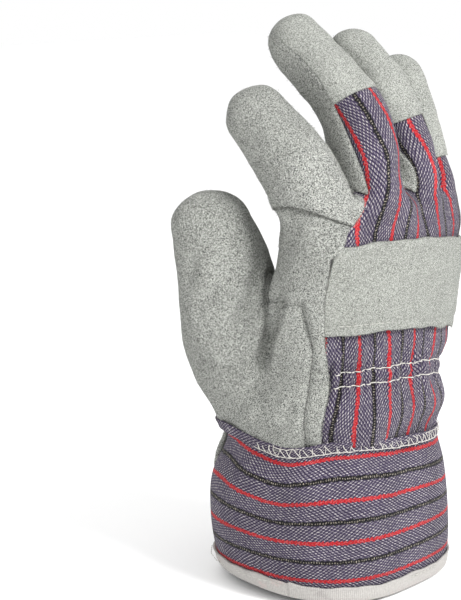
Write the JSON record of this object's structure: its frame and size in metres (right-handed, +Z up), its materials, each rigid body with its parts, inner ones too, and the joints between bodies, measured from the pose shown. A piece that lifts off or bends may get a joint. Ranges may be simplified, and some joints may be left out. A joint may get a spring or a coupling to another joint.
{
  "type": "leather palm work glove",
  "caption": "Right-hand work glove: split leather palm, thumb and fingertips, striped fabric back, knuckle strap, and a striped cuff with a bound slit.",
  "frame": {"origin": "middle of the cuff's mouth, where the hand goes in", "axes": "+Z up along the fingers, the back of the hand towards -Y, the thumb towards -X"},
  "size_m": [0.1341, 0.1002, 0.2574],
  "materials": {
    "suede": "split cowhide, rough nap, pale grey",
    "smooth_leather": "split cowhide, fine short nap, pale grey",
    "stripe_fabric": "cotton herringbone twill, grey violet with red and black stripes",
    "seam_tape": "folded twill seam with white overlock thread",
    "binding_tape": "ribbed cotton tape, off-white",
    "thread": "twisted cotton sewing thread, off-white"
  },
  "bodies": {
    "root": {"palm": "suede", "thumb": "suede", "two_finger_front": "suede", "index_front": "suede", "index_side": "suede", "back": "stripe_fabric", "middle_tip": "smooth_leather", "ring_tip": "smooth_leather", "little_tip": "smooth_leather", "knuckle_strap": "smooth_leather", "cuff_seam": "seam_tape", "cuff": "stripe_fabric", "cuff_binding": "binding_tape"}
  },
  "joints": []
}
